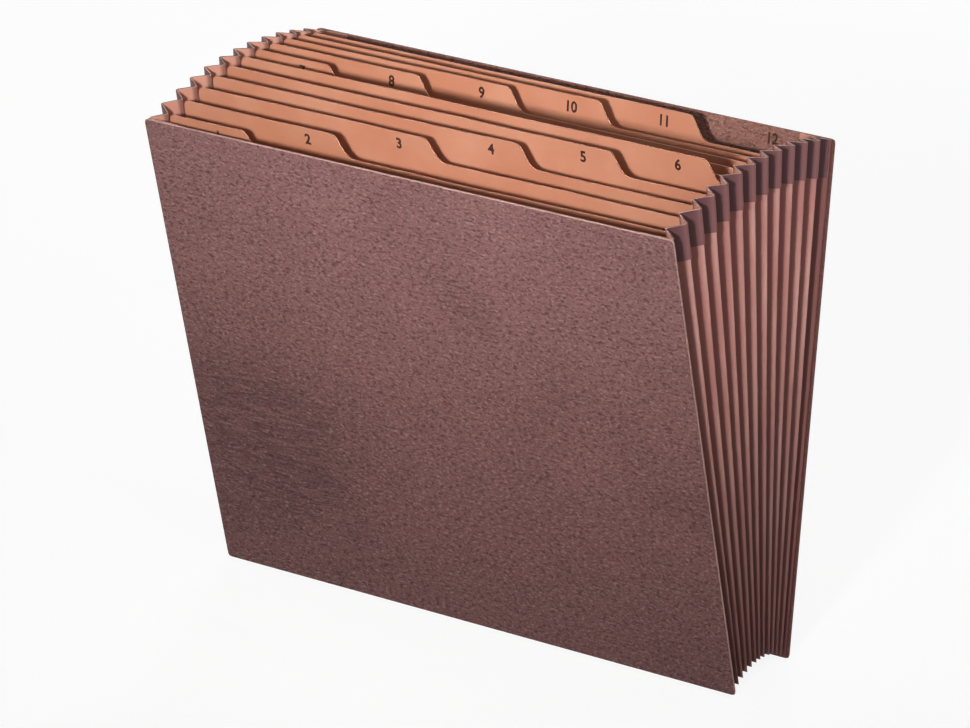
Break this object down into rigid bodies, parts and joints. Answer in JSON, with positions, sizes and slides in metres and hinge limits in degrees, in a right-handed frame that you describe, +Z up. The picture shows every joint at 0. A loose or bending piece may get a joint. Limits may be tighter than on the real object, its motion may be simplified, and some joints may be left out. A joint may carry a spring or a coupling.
{
  "type": "expanding file",
  "caption": "Open-topped expanding file standing fanned open: stiff grained covers, a pleated gusset with taped tops, and tabbed dividers between its pockets.",
  "frame": {"origin": "bottom centre of the box around the file, on the surface that it stands on", "axes": "+X along the file's width, to the right as seen from the front cover; +Y from the front cover to the back cover; +Z up, out of the pockets"},
  "size_m": [0.305, 0.149, 0.2727],
  "materials": {
    "cover_board": "leather-grained pressboard, greyed red-brown, low sheen",
    "divider_card": "smooth tan card, matte",
    "gusset_paper": "red-brown pleated paper, matte with worn pale folds",
    "gusset_tape": "dark maroon cloth tape, low sheen"
  },
  "bodies": {
    "root": {"front_cover": "cover_board", "back_cover": "cover_board", "gusset": "gusset_paper", "gusset_tape_left": "gusset_tape", "gusset_tape_right": "gusset_tape", "divider_1": "divider_card", "divider_2": "divider_card", "divider_3": "divider_card", "divider_4": "divider_card", "divider_5": "divider_card", "divider_6": "divider_card", "divider_7": "divider_card", "divider_8": "divider_card", "divider_9": "divider_card", "divider_10": "divider_card", "divider_11": "divider_card"}
  },
  "joints": []
}
